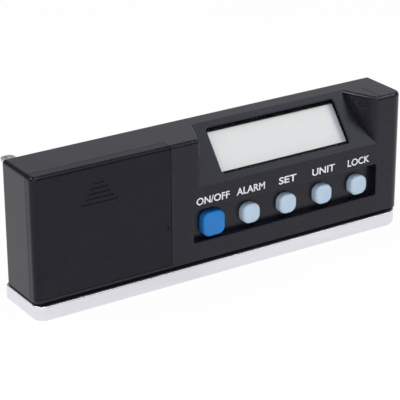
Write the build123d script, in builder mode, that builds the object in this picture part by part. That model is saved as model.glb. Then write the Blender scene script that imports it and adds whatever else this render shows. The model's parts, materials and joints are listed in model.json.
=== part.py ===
from build123d import *
import os

# Handheld digital inclinometer: a narrow plastic case on a flat metal base, with a
# sloped display, five keys in a tray and a lift-off battery cover at its left end.
# Millimetres. X runs along the base, Y to the back, Z up. The origin is the centre
# of the measuring face under the base.

# Base and gasket
base_end_overhang = 0.2
base_side_overhang = 1.4
base_thickness = 5.4
base_left_corner = 4.0
base_right_corner = 8.0
base_back_corner = 1.5
base_edge = 0.35
gasket_thickness = 0.9
gasket_overhang = 0.3

# Case shell
case_length = 161.0
case_height = 47.5
case_left_corner = 2.5
case_right_corner = 4.5
case_back_corner = 1.5
top_edge_radius = 1.5
wall = 2.0
top_line_from_end = 10.5
top_line_length = 13.0
top_line_width = 0.3
top_line_depth = 0.2
rear_cover_thickness = 2.0
rear_cover_gap = 0.15

# Battery cover
cover_return = 5.0
cover_wall = 1.8
cover_sill = 1.2
seam_gap = 0.2
cover_rail_width = 3.0
rail_thickness = 1.0
hook_thickness = 1.1
hook_length = 5.0
slide_gap = 0.2
hook_low = 4.0
hook_rise = 1.3
grip_depth = 0.3
grip_groove = 0.6
grip_pitch = 1.85
grip_from_end = 26.2
grip_height = 33.15
grip_widths = (14.6, 11.0, 8.8, 6.8)
grip_tip_width = 4.4
grip_tip_height = 3.2
latch_from_seam = 1.8
latch_height = 16.15
latch_slot = (0.9, 1.4)

# Sloped display panel cut into the upper front
panel_drop = 18.45
panel_run = 14.8
notch_from_seam = 11.9
notch_from_end = 12.5
notch_middle_inset = 3.8
notch_back_inset = 6.6
notch_edge = 1.2

# Display parts, stacked behind the panel
window_side = 4.85
window_low = 2.95
window_high = 2.6
window_corner = 1.0
window_bevel = 0.4
window_recess = 0.5
window_thickness = 1.2
window_ledge = 1.0
window_fit = 0.1
lcd_shift = 0.4
lcd_aperture_side = 0.2
lcd_aperture_rise = 1.1
lcd_frame_side = 3.5
lcd_frame_rise = 1.25
lcd_frame_front = 0.5
lcd_frame_end = 1.4
lcd_frame_lip = 0.7
lcd_glass_thickness = 1.1
lcd_contact_step = 1.8
lcd_fit = 0.1
reflector_inset = 0.4
reflector_thickness = 0.3
zebra_width = 1.4
zebra_end = 2.0
zebra_inset = 0.1
lcd_back_gap = 1.3
display_board_side = 3.0
display_board_rise = 1.15
display_board_thickness = 1.2
display_boss_inset = 2.4
display_boss_radius = 2.2
display_screw_depth = 4.0
display_socket_size = (18.0, 3.0)
display_socket_height = 1.6
display_socket_rise = 3.7

# Key tray and keys
tray_from_seam = 9.5
tray_from_end = 12.05
tray_below_panel = 8.7
tray_height = 13.0
tray_corner = 0.9
tray_depth = 3.2
tray_floor = 2.0
tray_edge = 0.4
first_key = 9.3
last_key = 7.8
key_drop = 0.9
key_sink = 0.25
key_size = 7.6
power_key_size = 9.6
key_corner = 3.0
key_crown = 1.2
key_gap = 0.3
key_rim = 0.9
key_rim_thickness = 1.0
key_rest_gap = 0.1
key_travel = 0.5

# Key switches
switch_size = 6.0
switch_height = 3.5
plunger_radius = 1.7
plunger_fit = 0.1
plunger_reach = 0.95
plunger_depth = 0.8
plunger_spare = 0.2

# Main circuit board and what is soldered to it
board_from_partition = 4.7
board_from_end = 8.7
board_low = 2.7
board_below_panel = 5.35
board_thickness = 1.6
board_boss_inset = (2.0, 2.4)
board_boss_radius = 2.0
board_screw_depth = 4.0
controller_size = 10.0
controller_thickness = 1.6
controller_low = 0.8
sensor_size = (15.6, 11.3)
sensor_thickness = 5.1
sensor_gap = 2.5
sensor_drop = 0.6
buzzer_radius = 6.0
buzzer_height = 6.5
buzzer_from_edge = 12.5
buzzer_port = 1.0
crystal_size = (11.0, 3.6)
crystal_thickness = 3.8
crystal_gap = 1.4
capacitor_radius = 2.5
capacitor_height = 6.5
capacitor_gap = 2.0
capacitor_pitch = 7.0
main_socket_width = 18.0
main_socket_height = 3.0
main_socket_depth = 2.0
main_socket_below_top = 2.0
connector_size = (7.0, 6.4)
connector_thickness = 5.6
connector_from_edge = 2.4
connector_below_top = 5.0
ribbon_width = 16.0
ribbon_thickness = 0.3
ribbon_bend = 4.0

# Battery
battery_length = 48.5
battery_depth = 17.5
battery_height = 26.5
battery_edge = 1.6
battery_end_gap = 0.6
battery_front_gap = 0.4
foam_thickness = 0.8
battery_rise = 7.7
battery_rib = 2.0
battery_rib_ends = 7.0
stud_pitch = 12.7
stud_height = 2.6
stud_radius = 2.8
socket_stud_radius = 3.9
snap_thickness = 1.8
snap_size = (12.0, 25.0)
snap_room = 2.5
foam_size = (36.0, 18.0)
lead_radius = 0.65
lead_pitch = 2.4
lead_back = 3.2
lead_start_drop = 4.05
lead_bend = 3.0
lead_straight = 3.6

# Partition between the battery and the circuit
partition_from_seam = 2.2
partition_thickness = 2.0
lead_window_width = 4.4
lead_clearance = 0.25

# Screws: M2 for boards and rear cover, M3 for the base
small_shank_radius = 1.0
small_head_radius = 1.9
small_head_height = 1.3
thread_fit = 0.05
rear_boss_radius = 2.3
rear_boss_length = 13.0
rear_boss_overlap = 0.15
rear_screw_low = 4.7
rear_screw_drop = 6.6
rear_screw_depth = 8.0
rear_head_radius = 2.0
rear_head_height = 1.0
rear_head_sink = 1.2
base_screw_from_end = 8.5
base_screw_from_side = 5.25
base_boss_radius = 3.0
base_boss_height = 4.9
base_screw_radius = 1.5
base_head_radius = 2.75
base_head_height = 2.6
base_head_sink = 3.2
base_screw_end = 1.0
blind_end = 0.4
head_fit = 0.25
hole_fit = 0.2
small_drive = 0.9
base_drive = 1.4
drive_slot = 0.35
drive_depth = 0.6

# Lug for a wrist strap
lug_width = 5.2
lug_thickness = 1.0
lug_foot = 3.3
lug_reach = 5.0
lug_top_drop = 1.2
lug_corner = 2.0
lug_hole_radius = 1.2

# Levels and planes worked out from the sizes above
half_length = case_length / 2
case_depth = cover_wall + battery_front_gap + battery_depth + foam_thickness + rear_cover_thickness
front = -case_depth / 2
back = case_depth / 2
case_low = base_thickness + gasket_thickness
case_top = case_low + case_height
floor_top = case_low + wall
ceiling = case_top - wall
inner_front = front + wall
inner_end = half_length - wall
rear_inner = back - rear_cover_thickness
split_y = front + cover_return
cover_low = case_low + cover_sill
beyond = 5.0

battery_x = -inner_end + battery_end_gap
battery_end = battery_x + battery_length
battery_front = front + cover_wall + battery_front_gap
battery_back = battery_front + battery_depth
battery_low = floor_top + battery_rise
battery_middle_y = battery_front + battery_depth / 2
battery_middle_z = battery_low + battery_height / 2
snap_x = battery_end + stud_height
snap_end = snap_x + snap_thickness
partition_x = snap_end + snap_room
partition_end = partition_x + partition_thickness
seam_x = partition_x - partition_from_seam

notch_left = seam_x + notch_from_seam
notch_right = half_length - notch_from_end
notch_half = (notch_right - notch_left) / 2
display_x = (notch_left + notch_right) / 2
panel_foot = case_top - panel_drop
panel = Plane(
    origin=(display_x, front, panel_foot),
    x_dir=(1, 0, 0),
    z_dir=(0, -panel_drop, panel_run),
)
panel_length = (panel_run**2 + panel_drop**2) ** 0.5
window_height = panel_length - window_low - window_high
window_up = window_low + window_height / 2
window_opening = (2 * (notch_half - notch_back_inset - window_side), window_height)
window_seat = (window_opening[0] + 2 * window_ledge, window_opening[1] + 2 * window_ledge)
window_back = window_recess + window_thickness
lcd_aperture = (window_opening[0] - 2 * lcd_aperture_side, window_opening[1] - 2 * lcd_aperture_rise)
lcd_frame_size = (window_opening[0] + 2 * lcd_frame_side, window_opening[1] + 2 * lcd_frame_rise)
lcd_pocket = (lcd_frame_size[0] - 2 * lcd_frame_end, lcd_frame_size[1] - 2 * lcd_frame_lip)
lcd_front_size = (lcd_pocket[0] - 2 * lcd_fit, lcd_pocket[1] - 2 * lcd_fit)
lcd_rear_size = (lcd_front_size[0], lcd_front_size[1] - 2 * lcd_contact_step)
reflector_size = (lcd_rear_size[0] - 2 * reflector_inset, lcd_rear_size[1] - 2 * reflector_inset)
zebra_size = (lcd_front_size[0] - 2 * zebra_end, zebra_width)
lcd_front = window_back + lcd_frame_front
lcd_middle = lcd_front + lcd_glass_thickness
lcd_back = lcd_middle + lcd_glass_thickness
display_stack = lcd_back + reflector_thickness + lcd_back_gap
display_board_size = (2 * (notch_half - display_board_side), window_height + 2 * display_board_rise)
display_boss_spread = display_board_size[0] / 2 - display_boss_inset
display_socket_up = window_up - display_board_size[1] / 2 + display_socket_rise
board_back = display_stack + display_board_thickness

tray_left = seam_x + tray_from_seam
tray_right = half_length - tray_from_end
tray_high = panel_foot - tray_below_panel
tray_low = tray_high - tray_height
key_pitch = (tray_right - tray_left - first_key - last_key) / 4
key_places = [tray_left + first_key + place * key_pitch for place in range(5)]
keys_z = (tray_low + tray_high) / 2 - key_drop
tray_back = front + tray_depth
tray_inner = tray_back + tray_floor
key_front = front + key_sink
rim_front = tray_inner + key_rest_gap
rim_back = rim_front + key_rim_thickness
switch_front = rim_back + plunger_reach
board_front = switch_front + switch_height
board_rear = board_front + board_thickness
board_bottom = case_low + board_low
board_top = panel_foot - board_below_panel
board_middle = (board_bottom + board_top) / 2
board_left = partition_end + board_from_partition
board_right = inner_end - board_from_end

rear_screw_x = (
    -inner_end + rear_boss_radius - rear_boss_overlap,
    partition_end + rear_boss_radius - rear_boss_overlap,
    inner_end - rear_boss_radius + rear_boss_overlap,
)
rear_screw_z = (case_low + rear_screw_low, case_top - rear_screw_drop)
lug_place = (rear_screw_x[0], rear_screw_z[1])
rear_places = [(x, z) for x in rear_screw_x for z in rear_screw_z]
flush_places = [place for place in rear_places if place != lug_place]
base_screw_x = half_length - base_screw_from_end
base_screw_y = back - base_screw_from_side
base_places = [(x, y) for x in (-base_screw_x, base_screw_x) for y in (-base_screw_y, base_screw_y)]
board_places = [
    (x, z)
    for x in (board_left + board_boss_inset[0], board_right - board_boss_inset[0])
    for z in (board_bottom + board_boss_inset[1], board_top - board_boss_inset[1])
]


# A block between two corners
def block(low, high, mode=Mode.ADD):
    middle = [(a + b) / 2 for a, b in zip(low, high)]
    size = [b - a for a, b in zip(low, high)]
    with Locations(tuple(middle)):
        Box(*size, mode=mode)


# A round bar along Y between two depths
def rod_y(x, z, start, end, radius, mode=Mode.ADD):
    with Locations((x, (start + end) / 2, z)):
        Cylinder(radius, end - start, rotation=(90, 0, 0), mode=mode)


# A round bar along X between two ends
def rod_x(y, z, start, end, radius, mode=Mode.ADD):
    with Locations(((start + end) / 2, y, z)):
        Cylinder(radius, end - start, rotation=(0, 90, 0), mode=mode)


# A round bar along Z between two heights
def rod_z(x, y, start, end, radius, mode=Mode.ADD):
    with Locations((x, y, (start + end) / 2)):
        Cylinder(radius, end - start, mode=mode)


# A rectangle parallel to the sloped panel, between two depths under its face
def slab(size, start, end, across=0.0, up=window_up, corner=0.0, mode=Mode.ADD):
    with BuildSketch(panel.offset(-start)) as outline:
        with Locations((across, up)):
            if corner > 0:
                RectangleRounded(*size, corner)
            else:
                Rectangle(*size)
    extrude(outline.sketch, amount=start - end, mode=mode)


# A round bar square to the sloped panel, between two depths under its face
def stub(across, up, start, end, radius, mode=Mode.ADD):
    with BuildSketch(panel.offset(-start)) as outline:
        with Locations((across, up)):
            Circle(radius)
    extrude(outline.sketch, amount=start - end, mode=mode)


# A rounded square facing the front, between two depths along Y
def pad(x, z, side, corner, start, end, mode=Mode.ADD):
    with BuildSketch(Plane((x, start, z), x_dir=(1, 0, 0), z_dir=(0, -1, 0))) as outline:
        RectangleRounded(side, side, corner)
    extrude(outline.sketch, amount=start - end, mode=mode)


# A rectangle with its own radius at the front left, front right and back corners
def plan(outline, length, width, left_corner, right_corner, back_corner):
    Rectangle(length, width)
    fillet(outline.vertices().group_by(Axis.Y)[-1], back_corner)
    fillet(outline.vertices().group_by(Axis.Y)[0].sort_by(Axis.X)[0], left_corner)
    fillet(outline.vertices().group_by(Axis.Y)[0].sort_by(Axis.X)[-1], right_corner)


# The space of the display notch, or that space grown by a wall on its sides and floor
def notch_space(grow, sink):
    front_half = notch_half + grow
    middle_half = front_half - notch_middle_inset
    back_half = front_half - notch_back_inset
    middle_y = front + panel_run / 2
    back_y = front + panel_run
    with BuildPart() as space:
        with BuildSketch(Plane((display_x, 0, panel_foot - beyond))):
            with BuildLine():
                left = ThreePointArc((-front_half, front), (-middle_half, middle_y), (-back_half, back_y))
                right = ThreePointArc((front_half, front), (middle_half, middle_y), (back_half, back_y))
                Polyline(left @ 1, (-back_half, back + beyond), (back_half, back + beyond), right @ 1)
                Polyline(left @ 0, (-front_half, front - beyond), (front_half, front - beyond), right @ 0)
            make_face()
        extrude(amount=case_top - panel_foot + 2 * beyond)
        split(bisect_by=panel.offset(-sink), keep=Keep.TOP)
    return space.part


# Outside shape of the whole case, with the notch and the key tray cut into it
open_notch = notch_space(0, 0)
walled_notch = notch_space(wall, window_back)
top_line_x = half_length - top_line_from_end
with BuildPart() as case_form:
    with BuildSketch(Plane.XY.offset(case_low)) as case_plan:
        plan(case_plan, case_length, case_depth, case_left_corner, case_right_corner, case_back_corner)
    extrude(amount=case_height)
    fillet(case_form.edges().group_by(Axis.Z)[-1], top_edge_radius)
    add(open_notch, mode=Mode.SUBTRACT)
    notch_cut = case_form.edges(Select.LAST)
    fillet([edge for edge in notch_cut if panel.to_local_coords(edge @ 0.5).Z > notch_edge], notch_edge)
    tray_centre = ((tray_left + tray_right) / 2, front, (tray_low + tray_high) / 2)
    with BuildSketch(Plane(tray_centre, x_dir=(1, 0, 0), z_dir=(0, -1, 0))):
        RectangleRounded(tray_right - tray_left, tray_height, tray_corner)
    extrude(amount=-tray_depth, mode=Mode.SUBTRACT)
    fillet(case_form.edges(Select.LAST).group_by(Axis.Y)[0], tray_edge)
    # Fine moulding line across the top, near the right end
    block(
        (top_line_x - top_line_width / 2, front - beyond, case_top - top_line_depth),
        (top_line_x + top_line_width / 2, front + top_line_length, case_top + beyond),
        Mode.SUBTRACT,
    )

# Walls behind the sloped panel and around the key tray
with BuildPart() as notch_wall:
    add(walled_notch)
    add(case_form.part, mode=Mode.INTERSECT)
with BuildPart() as tray_wall:
    block((tray_left - wall, front, tray_low - wall), (tray_right + wall, tray_inner, tray_high + wall))
    add(case_form.part, mode=Mode.INTERSECT)

# Main case: one moulding, open at the back and where the battery cover sits
rail_edge = seam_x - cover_rail_width
end_rail_edge = -inner_end + cover_rail_width
end_rail_low = battery_low + battery_height + slide_gap
rail_back = inner_front + rail_thickness
lead_y = board_rear + lead_back
connector_middle = board_top - connector_below_top - connector_size[1] / 2
lead_start = battery_middle_z - lead_start_drop
lead_levels = sorted((connector_middle, lead_start))
lead_margin = lead_pitch / 2 + lead_radius + lead_clearance
key_sizes = [power_key_size, key_size, key_size, key_size, key_size]
with BuildPart() as main_case:
    add(case_form.part)
    block((-inner_end, inner_front, floor_top), (inner_end, back + beyond, ceiling), Mode.SUBTRACT)
    block(
        (-half_length - beyond, front - beyond, cover_low),
        (seam_x, split_y, case_top + beyond),
        Mode.SUBTRACT,
    )
    add(notch_wall.part)
    add(tray_wall.part)
    # Partition, with a window for the battery leads
    block((partition_x, inner_front, floor_top), (partition_end, rear_inner, ceiling))
    block(
        (partition_x, lead_y - lead_window_width / 2, lead_levels[0] - lead_margin),
        (partition_end, lead_y + lead_window_width / 2, lead_levels[1] + lead_margin),
        Mode.SUBTRACT,
    )
    # Ribs that the battery stands on
    for rib_x in (battery_x + battery_rib_ends, battery_end - battery_rib_ends):
        block(
            (rib_x - battery_rib / 2, split_y, floor_top),
            (rib_x + battery_rib / 2, rear_inner, battery_low),
        )
    # Rails that hold the hooks of the battery cover
    block((rail_edge, inner_front, cover_low), (partition_x, rail_back, ceiling))
    block((-inner_end, inner_front, end_rail_low), (end_rail_edge, rail_back, ceiling))
    block((-inner_end, inner_front, end_rail_low), (-inner_end + rail_thickness, split_y + wall, ceiling))
    # Screw bosses for the rear cover, the base and the two boards
    for x, z in rear_places:
        rod_y(x, z, rear_inner - rear_boss_length, rear_inner, rear_boss_radius)
    for x, y in base_places:
        rod_z(x, y, floor_top, floor_top + base_boss_height, base_boss_radius)
    for x, z in board_places:
        rod_y(x, z, inner_front, board_front, board_boss_radius)
    for side in (-1, 1):
        stub(side * display_boss_spread, window_up, window_back, display_stack, display_boss_radius)
    # Window opening with its ledge, and the key holes
    slab(window_opening, 0, window_recess, corner=window_corner, mode=Mode.SUBTRACT)
    chamfer(main_case.edges(Select.LAST).group_by(Axis(panel.origin, panel.z_dir))[-1], window_bevel)
    slab(window_seat, window_recess, window_back, corner=window_corner, mode=Mode.SUBTRACT)
    for x, size in zip(key_places, key_sizes):
        pad(x, keys_z, size + 2 * key_gap, key_corner + key_gap, tray_back, tray_inner, Mode.SUBTRACT)
    # Screw holes
    for x, z in rear_places:
        rod_y(
            x, z, rear_inner - rear_screw_depth, rear_inner,
            small_shank_radius + thread_fit, Mode.SUBTRACT,
        )
    for x, y in base_places:
        rod_z(
            x, y, case_low, floor_top + base_boss_height - blind_end,
            base_screw_radius + thread_fit, Mode.SUBTRACT,
        )
    for x, z in board_places:
        rod_y(
            x, z, board_front - board_screw_depth, board_front,
            small_shank_radius + thread_fit, Mode.SUBTRACT,
        )
    for side in (-1, 1):
        stub(
            side * display_boss_spread, window_up, display_stack - display_screw_depth, display_stack,
            small_shank_radius + thread_fit, Mode.SUBTRACT,
        )
main_case.part.label = "main_case"

# Metal base with the measuring face, and the gasket on it
base_length = case_length + 2 * base_end_overhang
base_width = case_depth + 2 * base_side_overhang
with BuildPart() as base_plate:
    with BuildSketch() as base_plan:
        plan(base_plan, base_length, base_width, base_left_corner, base_right_corner, base_back_corner)
    extrude(amount=base_thickness)
    fillet(base_plate.edges().group_by(Axis.Z)[0] + base_plate.edges().group_by(Axis.Z)[-1], base_edge)
    for x, y in base_places:
        rod_z(x, y, 0, base_head_sink, base_head_radius + head_fit, Mode.SUBTRACT)
        rod_z(x, y, base_head_sink, base_thickness, base_screw_radius + hole_fit, Mode.SUBTRACT)
base_plate.part.label = "base_plate"

with BuildPart() as base_gasket:
    with BuildSketch(Plane.XY.offset(base_thickness)) as gasket_plan:
        plan(
            gasket_plan, base_length - 2 * base_edge, case_depth + 2 * gasket_overhang,
            base_left_corner - base_edge, base_right_corner - base_edge, base_back_corner - base_edge,
        )
        with Locations(*base_places):
            Circle(base_screw_radius + hole_fit, mode=Mode.SUBTRACT)
    extrude(amount=gasket_thickness)
base_gasket.part.label = "base_gasket"


# A screw: seat is the plane under its head, facing out of the head
def screw(seat, head_radius, head_height, shank_radius, length, drive):
    with BuildSketch(seat) as head:
        Circle(head_radius)
    extrude(head.sketch, amount=head_height)
    with BuildSketch(seat) as shank:
        Circle(shank_radius)
    extrude(shank.sketch, amount=-length)
    with BuildSketch(seat.offset(head_height)) as recess:
        Rectangle(2 * drive, drive_slot * 2)
        Rectangle(drive_slot * 2, 2 * drive)
    extrude(recess.sketch, amount=-drive_depth, mode=Mode.SUBTRACT)


base_screw_length = floor_top + base_boss_height - base_screw_end - base_head_sink
with BuildPart() as base_screws:
    for x, y in base_places:
        screw(
            Plane((x, y, base_head_sink), z_dir=(0, 0, -1)),
            base_head_radius, base_head_height, base_screw_radius, base_screw_length, base_drive,
        )
base_screws.part.label = "base_screws"

# Rear cover, its screws, and the strap lug held by one of them
with BuildPart() as rear_cover:
    block(
        (-inner_end + rear_cover_gap, rear_inner, floor_top + rear_cover_gap),
        (inner_end - rear_cover_gap, back, ceiling - rear_cover_gap),
    )
    for x, z in rear_places:
        rod_y(x, z, rear_inner, back, small_shank_radius + hole_fit, Mode.SUBTRACT)
    for x, z in flush_places:
        rod_y(x, z, back - rear_head_sink, back, rear_head_radius + head_fit, Mode.SUBTRACT)
rear_cover.part.label = "rear_cover"

with BuildPart() as rear_screws:
    for x, z in flush_places:
        screw(
            Plane((x, back - rear_head_sink, z), z_dir=(0, 1, 0)),
            rear_head_radius, rear_head_height, small_shank_radius,
            rear_screw_depth + rear_cover_thickness - rear_head_sink - blind_end, small_drive,
        )
rear_screws.part.label = "rear_screws"

lug_x, lug_z = lug_place
lug_top = case_top - lug_top_drop
with BuildPart() as strap_lug:
    block(
        (lug_x - lug_width / 2, back, lug_z - lug_foot),
        (lug_x + lug_width / 2, back + lug_thickness, lug_top),
    )
    with BuildSketch(Plane.XY.offset(lug_top - lug_thickness)):
        with Locations((lug_x, back + lug_reach / 2)):
            Rectangle(lug_width, lug_reach)
    extrude(amount=lug_thickness)
    ear_corners = strap_lug.edges().filter_by(Axis.Z).group_by(Axis.Y)[-1]
    fillet(ear_corners, lug_corner)
    rod_z(
        lug_x, back + lug_reach - lug_corner, lug_top - lug_thickness, lug_top,
        lug_hole_radius, Mode.SUBTRACT,
    )
    rod_y(lug_x, lug_z, back, back + lug_thickness, small_shank_radius + hole_fit, Mode.SUBTRACT)
strap_lug.part.label = "strap_lug"

with BuildPart() as lug_screw:
    screw(
        Plane((lug_x, back + lug_thickness, lug_z), z_dir=(0, 1, 0)),
        small_head_radius, small_head_height, small_shank_radius,
        lug_thickness + rear_cover_thickness + rear_screw_depth - blind_end, small_drive,
    )
lug_screw.part.label = "lug_screw"

# Battery cover: a shallow shell over the front, top and end, with hooks behind the rails
hook_reach = cover_rail_width - rail_thickness - slide_gap
hook_front = rail_back + slide_gap
hook_back = hook_front + hook_thickness
cover_inner = front + cover_wall
grip_x = -half_length + grip_from_end
latch_x = seam_x - latch_from_seam
with BuildPart() as battery_cover:
    add(case_form.part)
    block(
        (-half_length - beyond, front - beyond, cover_low + seam_gap),
        (seam_x - seam_gap, split_y - seam_gap, case_top + beyond),
        Mode.INTERSECT,
    )
    block(
        (-half_length + cover_wall, cover_inner, case_low),
        (seam_x, split_y, case_top - cover_wall),
        Mode.SUBTRACT,
    )
    # Two hooks at the seam and one at the end wall
    for hook_z in (case_low + hook_low, end_rail_low + hook_rise):
        stem_x = rail_edge - slide_gap
        block((stem_x - hook_thickness, cover_inner, hook_z), (stem_x, hook_back, hook_z + hook_length))
        block((stem_x, hook_front, hook_z), (rail_edge + hook_reach, hook_back, hook_z + hook_length))
    stem_x = end_rail_edge + slide_gap
    block((stem_x, cover_inner, hook_z), (stem_x + hook_thickness, hook_back, hook_z + hook_length))
    block((end_rail_edge - hook_reach, hook_front, hook_z), (stem_x, hook_back, hook_z + hook_length))
    # Finger grip: an upward arrow of grooves, and the slot of the catch
    for row, width in enumerate(grip_widths):
        groove_z = case_low + grip_height + row * grip_pitch
        block(
            (grip_x - width / 2, front, groove_z - grip_groove / 2),
            (grip_x + width / 2, front + grip_depth, groove_z + grip_groove / 2),
            Mode.SUBTRACT,
        )
    tip_low = case_low + grip_height + len(grip_widths) * grip_pitch - grip_groove / 2
    with BuildSketch(Plane((grip_x, front, tip_low), x_dir=(1, 0, 0), z_dir=(0, -1, 0))):
        with BuildLine():
            Polyline((-grip_tip_width / 2, 0), (grip_tip_width / 2, 0), (0, grip_tip_height), close=True)
        make_face()
    extrude(amount=-grip_depth, mode=Mode.SUBTRACT)
    block(
        (latch_x - latch_slot[0] / 2, front, case_low + latch_height - latch_slot[1] / 2),
        (latch_x + latch_slot[0] / 2, front + grip_depth, case_low + latch_height + latch_slot[1] / 2),
        Mode.SUBTRACT,
    )
battery_cover.part.label = "battery_cover"

# Display window, glued on the ledge behind its opening
with BuildPart() as display_window:
    slab(
        tuple(side - 2 * window_fit for side in window_seat),
        window_recess, window_back, corner=window_corner,
    )
display_window.part.label = "display_window"

# Liquid crystal cell: two glasses, a reflector, and the frame that holds them
with BuildPart() as lcd_frame:
    slab(lcd_frame_size, window_back, display_stack)
    slab(lcd_pocket, lcd_front, display_stack, mode=Mode.SUBTRACT)
    slab(lcd_aperture, window_back, lcd_front, across=lcd_shift, mode=Mode.SUBTRACT)
lcd_frame.part.label = "lcd_frame"

with BuildPart() as lcd_front_glass:
    slab(lcd_front_size, lcd_front, lcd_middle)
lcd_front_glass.part.label = "lcd_front_glass"

with BuildPart() as lcd_rear_glass:
    slab(lcd_rear_size, lcd_middle, lcd_back)
lcd_rear_glass.part.label = "lcd_rear_glass"

with BuildPart() as lcd_reflector:
    slab(reflector_size, lcd_back, lcd_back + reflector_thickness)
lcd_reflector.part.label = "lcd_reflector"

# Conductive rubber strips from the front glass to the display board
zebra_spread = lcd_front_size[1] / 2 - zebra_inset - zebra_size[1] / 2
with BuildPart() as zebra_strips:
    for side in (-1, 1):
        slab(zebra_size, lcd_middle, display_stack, up=window_up + side * zebra_spread)
zebra_strips.part.label = "zebra_strips"

# Display board with its screws and ribbon socket
with BuildPart() as display_board:
    slab(display_board_size, display_stack, board_back)
    for side in (-1, 1):
        stub(
            side * display_boss_spread, window_up, display_stack, board_back,
            small_shank_radius + hole_fit, Mode.SUBTRACT,
        )
display_board.part.label = "display_board"

with BuildPart() as display_board_screws:
    for side in (-1, 1):
        screw_seat = panel.from_local_coords((side * display_boss_spread, window_up, -board_back))
        screw(
            Plane(screw_seat, x_dir=(1, 0, 0), z_dir=-panel.z_dir),
            small_head_radius, small_head_height, small_shank_radius,
            display_board_thickness + display_screw_depth - blind_end, small_drive,
        )
display_board_screws.part.label = "display_board_screws"

socket_back = board_back + display_socket_height
with BuildPart() as display_socket:
    slab(display_socket_size, board_back, socket_back, up=display_socket_up)
display_socket.part.label = "display_socket"

# Main circuit board, held on four bosses
with BuildPart() as main_board:
    block(
        (board_left, board_front, board_bottom),
        (board_right, board_rear, board_top),
    )
    for x, z in board_places:
        rod_y(x, z, board_front, board_rear, small_shank_radius + hole_fit, Mode.SUBTRACT)
main_board.part.label = "main_board"

with BuildPart() as main_board_screws:
    for x, z in board_places:
        screw(
            Plane((x, board_rear, z), z_dir=(0, 1, 0)),
            small_head_radius, small_head_height, small_shank_radius,
            board_thickness + board_screw_depth - blind_end, small_drive,
        )
main_board_screws.part.label = "main_board_screws"

# Switches under the keys
with BuildPart() as switch_bodies:
    for x in key_places:
        block(
            (x - switch_size / 2, switch_front, keys_z - switch_size / 2),
            (x + switch_size / 2, board_front, keys_z + switch_size / 2),
        )
        rod_y(
            x, keys_z, switch_front, switch_front + plunger_depth + key_travel + plunger_spare,
            plunger_radius + plunger_fit, Mode.SUBTRACT,
        )
switch_bodies.part.label = "switch_bodies"


# A key cap with the rim that keeps it in the case
def key_cap(cap, x, size):
    pad(x, keys_z, size, key_corner, key_front, rim_front)
    fillet(cap.faces().sort_by(Axis.Y)[0].edges(), key_crown)
    pad(x, keys_z, size + 2 * key_rim, key_corner + key_rim, rim_front, rim_back)


# The plunger of the switch under a key
def plunger(x):
    rod_y(x, keys_z, rim_back, switch_front + plunger_depth, plunger_radius)


with BuildPart() as power_button:
    key_cap(power_button, key_places[0], power_key_size)
power_button.part.label = "power_button"

with BuildPart() as alarm_button:
    key_cap(alarm_button, key_places[1], key_size)
alarm_button.part.label = "alarm_button"

with BuildPart() as set_button:
    key_cap(set_button, key_places[2], key_size)
set_button.part.label = "set_button"

with BuildPart() as unit_button:
    key_cap(unit_button, key_places[3], key_size)
unit_button.part.label = "unit_button"

with BuildPart() as lock_button:
    key_cap(lock_button, key_places[4], key_size)
lock_button.part.label = "lock_button"

with BuildPart() as power_plunger:
    plunger(key_places[0])
power_plunger.part.label = "power_plunger"

with BuildPart() as alarm_plunger:
    plunger(key_places[1])
alarm_plunger.part.label = "alarm_plunger"

with BuildPart() as set_plunger:
    plunger(key_places[2])
set_plunger.part.label = "set_plunger"

with BuildPart() as unit_plunger:
    plunger(key_places[3])
unit_plunger.part.label = "unit_plunger"

with BuildPart() as lock_plunger:
    plunger(key_places[4])
lock_plunger.part.label = "lock_plunger"

# Parts soldered to the back of the main board, from its left end to its right end
connector_x = board_left + connector_from_edge
connector_end = connector_x + connector_size[0]
with BuildPart() as battery_connector:
    block(
        (connector_x, board_rear, connector_middle - connector_size[1] / 2),
        (connector_end, board_rear + connector_thickness, connector_middle + connector_size[1] / 2),
    )
battery_connector.part.label = "battery_connector"

sensor_x = connector_end + sensor_gap
sensor_end = sensor_x + sensor_size[0]
sensor_low = board_middle - sensor_drop - sensor_size[1] / 2
with BuildPart() as tilt_sensor:
    block(
        (sensor_x, board_rear, sensor_low),
        (sensor_end, board_rear + sensor_thickness, sensor_low + sensor_size[1]),
    )
tilt_sensor.part.label = "tilt_sensor"

buzzer_x = board_right - buzzer_from_edge
with BuildPart() as buzzer:
    rod_y(buzzer_x, board_middle, board_rear, board_rear + buzzer_height, buzzer_radius)
    rod_y(
        buzzer_x, board_middle, board_rear + buzzer_height / 2,
        board_rear + buzzer_height, buzzer_port, Mode.SUBTRACT,
    )
buzzer.part.label = "buzzer"

capacitor_x = buzzer_x - buzzer_radius - capacitor_gap - capacitor_radius
with BuildPart() as capacitors:
    for row in (-1, 1):
        rod_y(
            capacitor_x, board_middle + row * capacitor_pitch / 2,
            board_rear, board_rear + capacitor_height, capacitor_radius,
        )
capacitors.part.label = "capacitors"

controller_room = capacitor_x - capacitor_radius - sensor_end
controller_pair = controller_size + crystal_gap + crystal_size[1]
controller_x = sensor_end + (controller_room - controller_pair) / 2
controller_end = controller_x + controller_size
controller_z = board_bottom + controller_low
with BuildPart() as microcontroller:
    block(
        (controller_x, board_rear, controller_z),
        (controller_end, board_rear + controller_thickness, controller_z + controller_size),
    )
microcontroller.part.label = "microcontroller"

crystal_x = controller_end + crystal_gap + crystal_size[1] / 2
with BuildPart() as crystal:
    crystal_seat = (crystal_x, board_rear, controller_z + crystal_size[0] / 2)
    with BuildSketch(Plane(crystal_seat, x_dir=(0, 0, 1), z_dir=(0, 1, 0))):
        SlotOverall(*crystal_size)
    extrude(amount=crystal_thickness)
crystal.part.label = "crystal"

socket_top = board_top - main_socket_below_top
with BuildPart() as main_socket:
    block(
        (display_x - main_socket_width / 2, board_rear, socket_top - main_socket_height),
        (display_x + main_socket_width / 2, board_rear + main_socket_depth, socket_top),
    )
main_socket.part.label = "main_socket"

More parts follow.
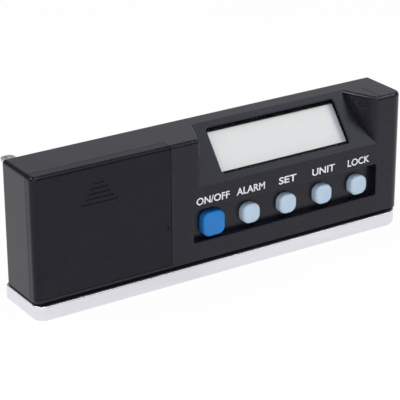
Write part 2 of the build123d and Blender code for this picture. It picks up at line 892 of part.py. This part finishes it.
# Flat cable from the back of the display board to the main board
cable_start = panel.from_local_coords((0, display_socket_up, -socket_back))
cable_y = board_rear + main_socket_depth / 2
cable_turn = cable_start.Z - (cable_y - cable_start.Y) * panel_run / panel_drop
with BuildPart() as ribbon_cable:
    with BuildSketch(Plane.YZ.offset(display_x - ribbon_width / 2)):
        with BuildLine():
            FilletPolyline(
                (cable_start.Y, cable_start.Z), (cable_y, cable_turn), (cable_y, socket_top),
                radius=ribbon_bend,
            )
        trace(line_width=ribbon_thickness)
    extrude(amount=ribbon_width)
ribbon_cable.part.label = "ribbon_cable"

# Battery block with its terminals, snap, leads and foam pad
with BuildPart() as battery:
    block((battery_x, battery_front, battery_low), (battery_end, battery_back, battery_low + battery_height))
    fillet(battery.edges().filter_by(Axis.X), battery_edge)
battery.part.label = "battery"

with BuildPart() as battery_terminals:
    rod_x(battery_middle_y, battery_middle_z + stud_pitch / 2, battery_end, snap_x, stud_radius)
    rod_x(battery_middle_y, battery_middle_z - stud_pitch / 2, battery_end, snap_x, socket_stud_radius)
battery_terminals.part.label = "battery_terminals"

with BuildPart() as battery_snap:
    block(
        (snap_x, battery_middle_y - snap_size[0] / 2, battery_middle_z - snap_size[1] / 2),
        (snap_end, battery_middle_y + snap_size[0] / 2, battery_middle_z + snap_size[1] / 2),
    )
battery_snap.part.label = "battery_snap"


# One battery lead, from the snap to the connector
def lead(shift):
    low = connector_middle + shift
    high = lead_start + shift
    with BuildLine(Plane((0, lead_y, 0), x_dir=(1, 0, 0), z_dir=(0, -1, 0))) as run:
        FilletPolyline(
            (snap_end, high), (snap_end + lead_straight, high),
            (connector_x - lead_straight, low), (connector_x, low),
            radius=lead_bend,
        )
    with BuildSketch(Plane((snap_end, lead_y, high), z_dir=(1, 0, 0))) as section_circle:
        Circle(lead_radius)
    sweep(section_circle.sketch, path=run.line)


with BuildPart() as battery_lead_red:
    lead(lead_pitch / 2)
battery_lead_red.part.label = "battery_lead_red"

with BuildPart() as battery_lead_black:
    lead(-lead_pitch / 2)
battery_lead_black.part.label = "battery_lead_black"

with BuildPart() as battery_foam:
    foam_x = (battery_x + battery_end) / 2
    block(
        (foam_x - foam_size[0] / 2, battery_back, battery_middle_z - foam_size[1] / 2),
        (foam_x + foam_size[0] / 2, rear_inner, battery_middle_z + foam_size[1] / 2),
    )
battery_foam.part.label = "battery_foam"

os.makedirs("parts", exist_ok=True)
pieces = [
    base_plate, base_gasket, base_screws, main_case, rear_cover, rear_screws, strap_lug, lug_screw,
    battery_cover, display_window, lcd_frame, lcd_front_glass, lcd_rear_glass, lcd_reflector,
    zebra_strips, display_board, display_board_screws, display_socket, main_board,
    main_board_screws, switch_bodies, power_button, alarm_button, set_button, unit_button,
    lock_button, power_plunger, alarm_plunger, set_plunger, unit_plunger, lock_plunger,
    microcontroller, tilt_sensor, buzzer, crystal, capacitors, main_socket, battery_connector,
    ribbon_cable, battery, battery_terminals, battery_snap, battery_lead_red,
    battery_lead_black, battery_foam,
]
for piece in pieces:
    export_step(piece.part, f"parts/{piece.part.label}.step")
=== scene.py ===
import json
import math
import bpy
from mathutils import Matrix, Vector


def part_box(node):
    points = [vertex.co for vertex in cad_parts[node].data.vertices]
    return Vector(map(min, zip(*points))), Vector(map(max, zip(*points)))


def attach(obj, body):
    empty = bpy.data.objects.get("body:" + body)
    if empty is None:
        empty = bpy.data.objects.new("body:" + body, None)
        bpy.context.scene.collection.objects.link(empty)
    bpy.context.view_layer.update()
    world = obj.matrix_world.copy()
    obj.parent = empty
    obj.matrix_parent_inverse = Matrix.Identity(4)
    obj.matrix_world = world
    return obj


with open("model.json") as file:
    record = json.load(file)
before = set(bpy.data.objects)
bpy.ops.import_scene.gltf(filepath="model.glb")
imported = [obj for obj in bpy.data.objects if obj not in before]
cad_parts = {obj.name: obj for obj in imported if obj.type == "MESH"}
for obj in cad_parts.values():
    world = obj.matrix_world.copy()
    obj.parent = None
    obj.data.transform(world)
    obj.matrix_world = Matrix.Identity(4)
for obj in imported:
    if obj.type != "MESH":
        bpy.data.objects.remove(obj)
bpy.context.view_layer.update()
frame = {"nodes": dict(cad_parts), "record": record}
nodes = frame["nodes"]
scene = bpy.context.scene
MM = 0.001

# Camera, at the photograph's viewing angle
CAMERA_PLACE = Vector((-0.3358, -0.5131, 0.28265))
CAMERA_FORWARD = Vector((0.49874, 0.77447, -0.38918)).normalized()
CAMERA_ROLL = math.radians(-0.26)
CAMERA_LENS = 160.95
CAMERA_SENSOR = 36
CAMERA_NEAR = 0.01
CAMERA_FAR = 100

right = CAMERA_FORWARD.cross(Vector((0, 0, 1))).normalized()
up = right.cross(CAMERA_FORWARD)
rolled_right = right * math.cos(CAMERA_ROLL) + up * math.sin(CAMERA_ROLL)
rolled_up = up * math.cos(CAMERA_ROLL) - right * math.sin(CAMERA_ROLL)
turn = Matrix((rolled_right, rolled_up, -CAMERA_FORWARD)).transposed().to_4x4()
camera_data = bpy.data.cameras.new("camera")
camera_data.sensor_width = CAMERA_SENSOR
camera_data.lens = CAMERA_LENS
camera_data.clip_start = CAMERA_NEAR
camera_data.clip_end = CAMERA_FAR
camera = bpy.data.objects.new("camera", camera_data)
camera.matrix_world = Matrix.Translation(CAMERA_PLACE) @ turn
scene.collection.objects.link(camera)
scene.camera = camera

# Socket numbers of a colour Mix node
MIX_FACTOR, MIX_FIRST, MIX_SECOND, MIX_RESULT = 0, 6, 7, 2

# Noise: its roughness, and the middle range of its values that is used
NOISE_ROUGHNESS = 0.55
NOISE_LOW, NOISE_HIGH = 0.25, 0.75


class Shader:
    """Builds one material's node tree a node at a time."""

    def __init__(self, name):
        self.material = bpy.data.materials.new(name)
        self.material.use_nodes = True
        self.tree = self.material.node_tree
        self.tree.nodes.clear()
        self.output = self.add("ShaderNodeOutputMaterial")

    def add(self, kind, **settings):
        node = self.tree.nodes.new(kind)
        for key, value in settings.items():
            setattr(node, key, value)
        return node

    def link(self, source, target):
        self.tree.links.new(source, target)

    def place(self, stretch=(1, 1, 1)):
        """Object coordinates in millimetres."""
        coordinate = self.add("ShaderNodeTexCoord")
        mapping = self.add("ShaderNodeMapping")
        mapping.inputs["Scale"].default_value = [axis / MM for axis in stretch]
        self.link(coordinate.outputs["Object"], mapping.inputs["Vector"])
        return mapping.outputs["Vector"]

    def along(self, axis):
        """One object coordinate in millimetres."""
        parts = self.add("ShaderNodeSeparateXYZ")
        self.link(self.place(), parts.inputs["Vector"])
        return parts.outputs[axis]

    def noise(self, place, scale, detail):
        node = self.add("ShaderNodeTexNoise")
        node.inputs["Scale"].default_value = scale
        node.inputs["Detail"].default_value = detail
        node.inputs["Roughness"].default_value = NOISE_ROUGHNESS
        self.link(place, node.inputs["Vector"])
        return node.outputs["Fac"]

    def span(self, source, start, end, low=0.0, high=1.0):
        """Maps start to end onto low to high, and holds both ends."""
        node = self.add("ShaderNodeMapRange")
        node.inputs["From Min"].default_value = start
        node.inputs["From Max"].default_value = end
        node.inputs["To Min"].default_value = low
        node.inputs["To Max"].default_value = high
        self.link(source, node.inputs["Value"])
        return node.outputs["Result"]

    def spread(self, noise, low, high):
        """Stretches the middle of a noise over low to high."""
        return self.span(noise, NOISE_LOW, NOISE_HIGH, low, high)

    def maths(self, operation, *values):
        """A Math node, each value a constant or the output of a node."""
        node = self.add("ShaderNodeMath", operation=operation)
        for socket, value in zip(node.inputs, values):
            if isinstance(value, (int, float)):
                socket.default_value = value
            else:
                self.link(value, socket)
        return node.outputs[0]

    def mix(self, factor, first, second, blend="MIX"):
        """Mixes two colours, each a constant or the output of a node."""
        node = self.add("ShaderNodeMix", data_type="RGBA", blend_type=blend)
        for socket, value in ((MIX_FACTOR, factor), (MIX_FIRST, first), (MIX_SECOND, second)):
            if isinstance(value, tuple):
                node.inputs[socket].default_value = (*value, 1)
            elif isinstance(value, (int, float)):
                node.inputs[socket].default_value = value
            else:
                self.link(value, node.inputs[socket])
        return node.outputs[MIX_RESULT]

    def bump(self, source, strength, distance):
        node = self.add("ShaderNodeBump")
        node.inputs["Strength"].default_value = strength
        node.inputs["Distance"].default_value = distance * MM
        self.link(source, node.inputs["Height"])
        return node.outputs["Normal"]

    def surface(self, shader):
        self.link(shader, self.output.inputs["Surface"])
        return self.material


def shade(colour, factor):
    return tuple(min(1.0, channel * factor) for channel in colour)


# Surfaces: scale per millimetre and detail of the slow change, detail of the fine grain, and the
# least roughness
SLOW_SCALE = 0.12
SLOW_DETAIL = 2
FINE_DETAIL = 3
LEAST_ROUGHNESS = 0.02


def solid(
    name, colour, roughness, metallic=0.0, vary=0.08, speck=0.05, rough_vary=0.08, grain=2.5,
    bump=0.15, depth=0.02, stretch=(1, 1, 1), specular=0.5, tint=(1, 1, 1), paint=None,
):
    """A procedural surface: slow colour change, and fine grain in its colour, gloss and relief.

    paint takes the shader and the plain colour, and gives a colour that changes over the piece.
    """
    shader = Shader(name)
    principled = shader.add("ShaderNodeBsdfPrincipled")
    principled.inputs["Metallic"].default_value = metallic
    principled.inputs["Specular IOR Level"].default_value = specular
    principled.inputs["Specular Tint"].default_value = (*tint, 1)
    place = shader.place(stretch)
    slow = shader.noise(place, SLOW_SCALE, SLOW_DETAIL)
    fine = shader.noise(place, grain, FINE_DETAIL)
    tone = shader.mix(shader.spread(slow, 0, 1), shade(colour, 1 - vary), shade(colour, 1 + vary))
    if paint:
        tone = paint(shader, tone)
    tone = shader.mix(1.0, tone, shader.spread(fine, 1 - speck, 1 + speck), "MULTIPLY")
    shader.link(tone, principled.inputs["Base Color"])
    smooth = max(LEAST_ROUGHNESS, roughness - rough_vary)
    rough = min(1, roughness + rough_vary)
    shader.link(shader.spread(fine, smooth, rough), principled.inputs["Roughness"])
    shader.link(shader.bump(fine, bump, depth), principled.inputs["Normal"])
    return shader.surface(principled.outputs["BSDF"])


# Clear window: share of light sent back when seen straight on, how fast it grows to the side,
# tint, roughness, and the scale, strength and depth of its slow wave
WINDOW_GLOSS = 0.001
WINDOW_GROWTH = 5
WINDOW_TINT = (0.99, 0.995, 0.99, 1)
WINDOW_ROUGHNESS = 0.06
WAVE_SCALE = 0.05
WAVE_BUMP = 0.05
WAVE_DEPTH = 0.05


def window_glass(name):
    """Clear plate: light goes straight through, and only its gloss shows."""
    shader = Shader(name)
    clear = shader.add("ShaderNodeBsdfTransparent")
    clear.inputs["Color"].default_value = WINDOW_TINT
    gloss = shader.add("ShaderNodeBsdfGlossy")
    gloss.inputs["Roughness"].default_value = WINDOW_ROUGHNESS
    wave = shader.noise(shader.place(), WAVE_SCALE, 1)
    shader.link(shader.bump(wave, WAVE_BUMP, WAVE_DEPTH), gloss.inputs["Normal"])
    facing = shader.add("ShaderNodeLayerWeight").outputs["Facing"]
    slant = shader.maths("POWER", facing, WINDOW_GROWTH)
    share = shader.maths("MULTIPLY_ADD", slant, 1 - WINDOW_GLOSS, WINDOW_GLOSS)
    mix = shader.add("ShaderNodeMixShader")
    shader.link(share, mix.inputs["Fac"])
    shader.link(clear.outputs["BSDF"], mix.inputs[1])
    shader.link(gloss.outputs["BSDF"], mix.inputs[2])
    return shader.surface(mix.outputs["Shader"])


# Painted shade at the right end of the liquid crystal cell: it greys out in fine upright lines
# towards the frame
PAINTED_EDGE_SHADE_WIDTH = 2.6
PAINTED_EDGE_SHADE_FROM_END = 3.3
PAINTED_EDGE_SHADE_LINE = 0.8
PAINTED_EDGE_SHADE_CONTRAST = 0.25
PAINTED_EDGE_SHADE_COLOUR = (0.42, 0.40, 0.47)
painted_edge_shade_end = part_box("lcd_front_glass")[1][0] / MM - PAINTED_EDGE_SHADE_FROM_END


def painted_edge_shade(shader, tone):
    across = shader.along("X")
    fade = shader.span(across, painted_edge_shade_end - PAINTED_EDGE_SHADE_WIDTH, painted_edge_shade_end)
    ripple = shader.maths("SINE", shader.maths("MULTIPLY", across, 2 * math.pi / PAINTED_EDGE_SHADE_LINE))
    lines = shader.maths("MULTIPLY", shader.maths("MULTIPLY", ripple, fade), PAINTED_EDGE_SHADE_CONTRAST)
    share = shader.maths("ADD", shader.maths("MULTIPLY", fade, fade), lines)
    # Mixes the painted shade colour over the cell's own tone towards its right end
    return shader.mix(share, tone, PAINTED_EDGE_SHADE_COLOUR)


# Battery jacket: a pale band around the end with the terminals
BAND_WIDTH = 11.0
BAND_EDGE = 0.1
BAND_COLOUR = (0.46, 0.47, 0.49)
band_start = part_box("battery")[1][0] / MM - BAND_WIDTH


def battery_band(shader, tone):
    edge = shader.span(shader.along("X"), band_start, band_start + BAND_EDGE)
    return shader.mix(edge, tone, BAND_COLOUR)


# Moulded black plastic of the case, and of the cover with less gloss
CASE_COLOUR = (0.0065, 0.0065, 0.0100)
MOULDED = {
    "vary": 0.15, "grain": 1.2, "bump": 0.04, "depth": 0.02, "rough_vary": 0.03,
    "tint": (0.87, 0.87, 1.0),
}
cover_plastic = solid("cover_plastic", CASE_COLOUR, 0.26, speck=0.2, specular=0.22, **MOULDED)

# Finish of each material slot: name, colour and roughness
finishes = {
    "case_plastic": solid("case_plastic", CASE_COLOUR, 0.26, speck=0.4, specular=0.36, **MOULDED),
    "bare_aluminium": solid(
        "bare_aluminium", (0.79, 0.78, 0.83), 0.34, metallic=1.0, vary=0.03, grain=1.2,
        stretch=(0.08, 1, 1), bump=0.03, depth=0.01,
    ),
    "black_gasket": solid("black_gasket", (0.0012, 0.0012, 0.0014), 0.6, specular=0.06),
    "screw_steel": solid("screw_steel", (0.56, 0.57, 0.60), 0.32, metallic=1.0, grain=4.0),
    "lug_steel": solid("lug_steel", (0.55, 0.54, 0.57), 0.35, metallic=1.0, stretch=(0.2, 1, 1)),
    "clear_window": window_glass("clear_window"),
    "dark_frame": solid("dark_frame", (0.002, 0.002, 0.003), 0.6, specular=0.1),
    # The display glass carries painted shade in grey upright lines at its right end
    "display_glass": solid(
        "display_glass", (0.675, 0.67, 0.658), 0.3, vary=0.01, speck=0.01, rough_vary=0.03,
        bump=0.02, paint=painted_edge_shade,
    ),
    "reflector_foil": solid("reflector_foil", (0.80, 0.82, 0.81), 0.45, metallic=1.0),
    "contact_rubber": solid("contact_rubber", (0.48, 0.12, 0.14), 0.7, stretch=(6, 1, 1)),
    "board_green": solid("board_green", (0.012, 0.10, 0.035), 0.35, vary=0.15, grain=1.5),
    "socket_plastic": solid("socket_plastic", (0.72, 0.68, 0.58), 0.5),
    "cable_grey": solid("cable_grey", (0.40, 0.41, 0.43), 0.45, stretch=(4, 1, 1)),
    "switch_plastic": solid("switch_plastic", (0.012, 0.012, 0.013), 0.5),
    "chip_plastic": solid("chip_plastic", (0.012, 0.012, 0.014), 0.6),
    "sensor_plastic": solid("sensor_plastic", (0.02, 0.02, 0.024), 0.55),
    "crystal_can": solid("crystal_can", (0.75, 0.76, 0.77), 0.22, metallic=1.0),
    "capacitor_can": solid("capacitor_can", (0.62, 0.64, 0.68), 0.30, metallic=1.0),
    "blue_key": solid(
        "blue_key", (0.016, 0.193, 0.553), 0.38, vary=0.05, speck=0.02, bump=0.08, specular=0.3,
    ),
    "pale_key": solid(
        "pale_key", (0.50, 0.625, 0.735), 0.38, vary=0.03, speck=0.02, bump=0.08, specular=0.3,
    ),
    "battery_jacket": solid("battery_jacket", (0.020, 0.026, 0.042), 0.32, paint=battery_band),
    "terminal_metal": solid("terminal_metal", (0.70, 0.68, 0.62), 0.25, metallic=1.0),
    "snap_plastic": solid("snap_plastic", (0.010, 0.010, 0.011), 0.6),
    "red_lead": solid("red_lead", (0.38, 0.012, 0.012), 0.45),
    "black_lead": solid("black_lead", (0.010, 0.010, 0.011), 0.45),
    "grey_foam": solid("grey_foam", (0.05, 0.05, 0.055), 0.95, grain=1.4, bump=0.8, depth=0.2),
}
for subpart in frame["record"]["subparts"]:
    materials = nodes[subpart["node"]].data.materials
    materials.clear()
    materials.append(finishes[subpart["material_slot"]])
nodes["battery_cover"].data.materials[0] = cover_plastic

# Printing on faces that look to the front
PRINT_PROUD = 0.015 * MM
PRINT_BOLD = 0.018


def letters(words):
    """A flat mesh of the words, in the plane of X and Y."""
    curve = bpy.data.curves.new("words", "FONT")
    curve.body = words
    curve.offset = PRINT_BOLD
    words_object = bpy.data.objects.new("words", curve)
    scene.collection.objects.link(words_object)
    bpy.context.view_layer.update()
    flat = words_object.evaluated_get(bpy.context.evaluated_depsgraph_get())
    mesh = bpy.data.meshes.new_from_object(flat)
    bpy.data.objects.remove(words_object)
    return mesh


def printing(name, words, size, middle, face, ink):
    """Prints words of a width and height with their middle at X and Z of a face."""
    mesh = letters(words)
    low = [min(vertex.co[axis] for vertex in mesh.vertices) for axis in range(2)]
    high = [max(vertex.co[axis] for vertex in mesh.vertices) for axis in range(2)]
    scale = [size[axis] * MM / (high[axis] - low[axis]) for axis in range(2)]
    centre = [(low[axis] + high[axis]) / 2 for axis in range(2)]
    for vertex in mesh.vertices:
        across, rise = [(vertex.co[axis] - centre[axis]) * scale[axis] for axis in range(2)]
        vertex.co = (middle[0] + across, face - PRINT_PROUD, middle[1] + rise)
    mesh.materials.clear()
    mesh.materials.append(ink)
    piece = bpy.data.objects.new(name, mesh)
    scene.collection.objects.link(piece)
    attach(piece, "case")


# Legends above the keys: key, words and width in millimetres
LEGENDS = (
    ("power", "ON/OFF", 14.4), ("alarm", "ALARM", 12.6), ("set", "SET", 8.0),
    ("unit", "UNIT", 10.6), ("lock", "LOCK", 10.4),
)
LEGEND_HEIGHT = 2.85
LEGEND_MIDDLE = 29.825 * MM
LEGEND_SHIFT = -1.0 * MM
legend_white = solid("legend_white", (0.80, 0.80, 0.83), 0.5, vary=0.03)
case_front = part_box("battery_cover")[0][1]
for name, words, width in LEGENDS:
    low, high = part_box(name + "_button")
    size = (width, LEGEND_HEIGHT)
    middle = ((low[0] + high[0]) / 2 + LEGEND_SHIFT, LEGEND_MIDDLE)
    printing("legend_" + name, words, size, middle, case_front, legend_white)

# Pole marks on the battery's band, beside its terminals: name, sign, size and height from the
# battery's middle in millimetres
POLE_MARKS = (("plus", "+", (3.4, 3.4), 6.35), ("minus", "-", (3.4, 0.8), -6.35))
mark_black = solid("mark_black", (0.02, 0.02, 0.022), 0.5)
battery_low, battery_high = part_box("battery")
band_middle = battery_high[0] - BAND_WIDTH / 2 * MM
battery_middle = (battery_low[2] + battery_high[2]) / 2
for name, words, size, rise in POLE_MARKS:
    middle = (band_middle, battery_middle + rise * MM)
    printing("pole_" + name, words, size, middle, battery_low[1], mark_black)

# Floor: white to the camera, to gloss and through glass, with a share left for the shadow
FLOOR_HALF = 30.0
FLOOR_COLOUR = (0.86, 0.86, 0.86, 1)
FLOOR_SHOWN = 0.92
floor_mesh = bpy.data.meshes.new("floor")
corners = [(x * FLOOR_HALF, y * FLOOR_HALF, 0) for x, y in ((-1, -1), (1, -1), (1, 1), (-1, 1))]
floor_mesh.from_pydata(corners, [], [(0, 1, 2, 3)])
floor = bpy.data.objects.new("floor", floor_mesh)
scene.collection.objects.link(floor)
floor_shader = Shader("floor_white")
diffuse = floor_shader.add("ShaderNodeBsdfDiffuse")
diffuse.inputs["Color"].default_value = FLOOR_COLOUR
glow = floor_shader.add("ShaderNodeEmission")
path = floor_shader.add("ShaderNodeLightPath")
seen = floor_shader.maths("MAXIMUM", path.outputs["Is Camera Ray"], path.outputs["Is Glossy Ray"])
seen = floor_shader.maths("MAXIMUM", seen, path.outputs["Is Transmission Ray"])
floor_mix = floor_shader.add("ShaderNodeMixShader")
floor_shader.link(floor_shader.maths("MULTIPLY", seen, FLOOR_SHOWN), floor_mix.inputs["Fac"])
floor_shader.link(diffuse.outputs["BSDF"], floor_mix.inputs[1])
floor_shader.link(glow.outputs["Emission"], floor_mix.inputs[2])
floor_mesh.materials.append(floor_shader.surface(floor_mix.outputs["Shader"]))

# World and lamps
WORLD_COLOUR = (0.94, 0.95, 1, 1)
WORLD_LIGHT = 0.15
world = bpy.data.worlds.new("studio")
scene.world = world
world.use_nodes = True
background = world.node_tree.nodes["Background"]
background.inputs["Color"].default_value = WORLD_COLOUR
background.inputs["Strength"].default_value = WORLD_LIGHT
LAMP_COLOUR = (0.95, 0.96, 1.0)
LAMP_TARGET = Vector((0, 0, 0.03))


def softbox(name, place, size, power):
    """A rectangular lamp that looks at the part: place and size in metres, power in watts."""
    data = bpy.data.lights.new(name, "AREA")
    data.shape = "RECTANGLE"
    data.size, data.size_y = size
    data.energy = power
    data.color = LAMP_COLOUR
    lamp = bpy.data.objects.new(name, data)
    lamp.location = place
    lamp.rotation_euler = (LAMP_TARGET - Vector(place)).to_track_quat("-Z", "Y").to_euler()
    scene.collection.objects.link(lamp)


softbox("key_softbox", (0.1, -0.35, 1.2), (0.6, 0.6), 7.5)
softbox("left_fill", (-0.75, -0.85, 0.55), (0.9, 0.7), 6)
softbox("rim_softbox", (-0.62, 0.33, 0.85), (0.5, 0.5), 6)
softbox("back_softbox", (0.65, 1.00, 0.55), (1.2, 0.7), 1.2)
softbox("panel_softbox", (0.80, -0.62, 0.83), (0.5, 0.5), 1.6)
softbox("edge_softbox", (0.95, -0.12, 1.03), (0.35, 0.35), 2.3)

scene.view_settings.view_transform = "Standard"
